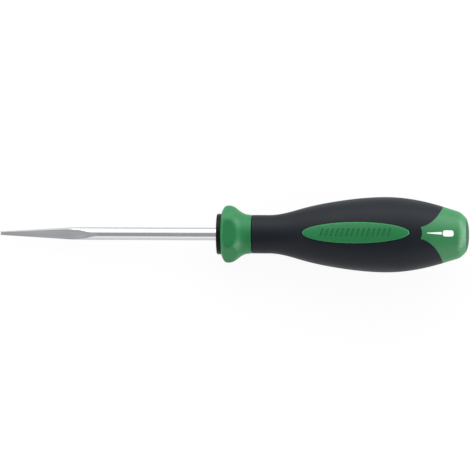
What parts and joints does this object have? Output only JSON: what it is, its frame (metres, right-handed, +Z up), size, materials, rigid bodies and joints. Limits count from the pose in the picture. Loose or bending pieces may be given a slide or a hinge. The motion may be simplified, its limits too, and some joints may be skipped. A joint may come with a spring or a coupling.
{
  "type": "square awl",
  "caption": "Hand awl: a round steel shank ground to a tapered square point, in a moulded handle with a flared hexagonal guard, a soft grip sleeve with oval inlays and a hard end cap.",
  "frame": {"origin": "centre of the bounding box's bottom face, on the bench that the tool lies on", "axes": "+X level, from the point towards the handle's end; +Z up. The tool lies on one flat of its guard and on its lower inlay, so its own axis dips about 5 degrees towards the point"},
  "size_m": [0.2, 0.032, 0.0333],
  "materials": {
    "steel": "chrome plated, point ground satin",
    "core_plastic": "gloss black",
    "guard_plastic": "satin green",
    "grip_rubber": "matt black, soft",
    "inlay_plastic": "satin green",
    "cap_plastic": "satin green"
  },
  "bodies": {
    "root": {"blade": "steel", "handle_core": "core_plastic", "guard": "guard_plastic", "soft_grip": "grip_rubber", "inlay_top": "inlay_plastic", "inlay_bottom": "inlay_plastic", "end_cap": "cap_plastic"}
  },
  "joints": []
}
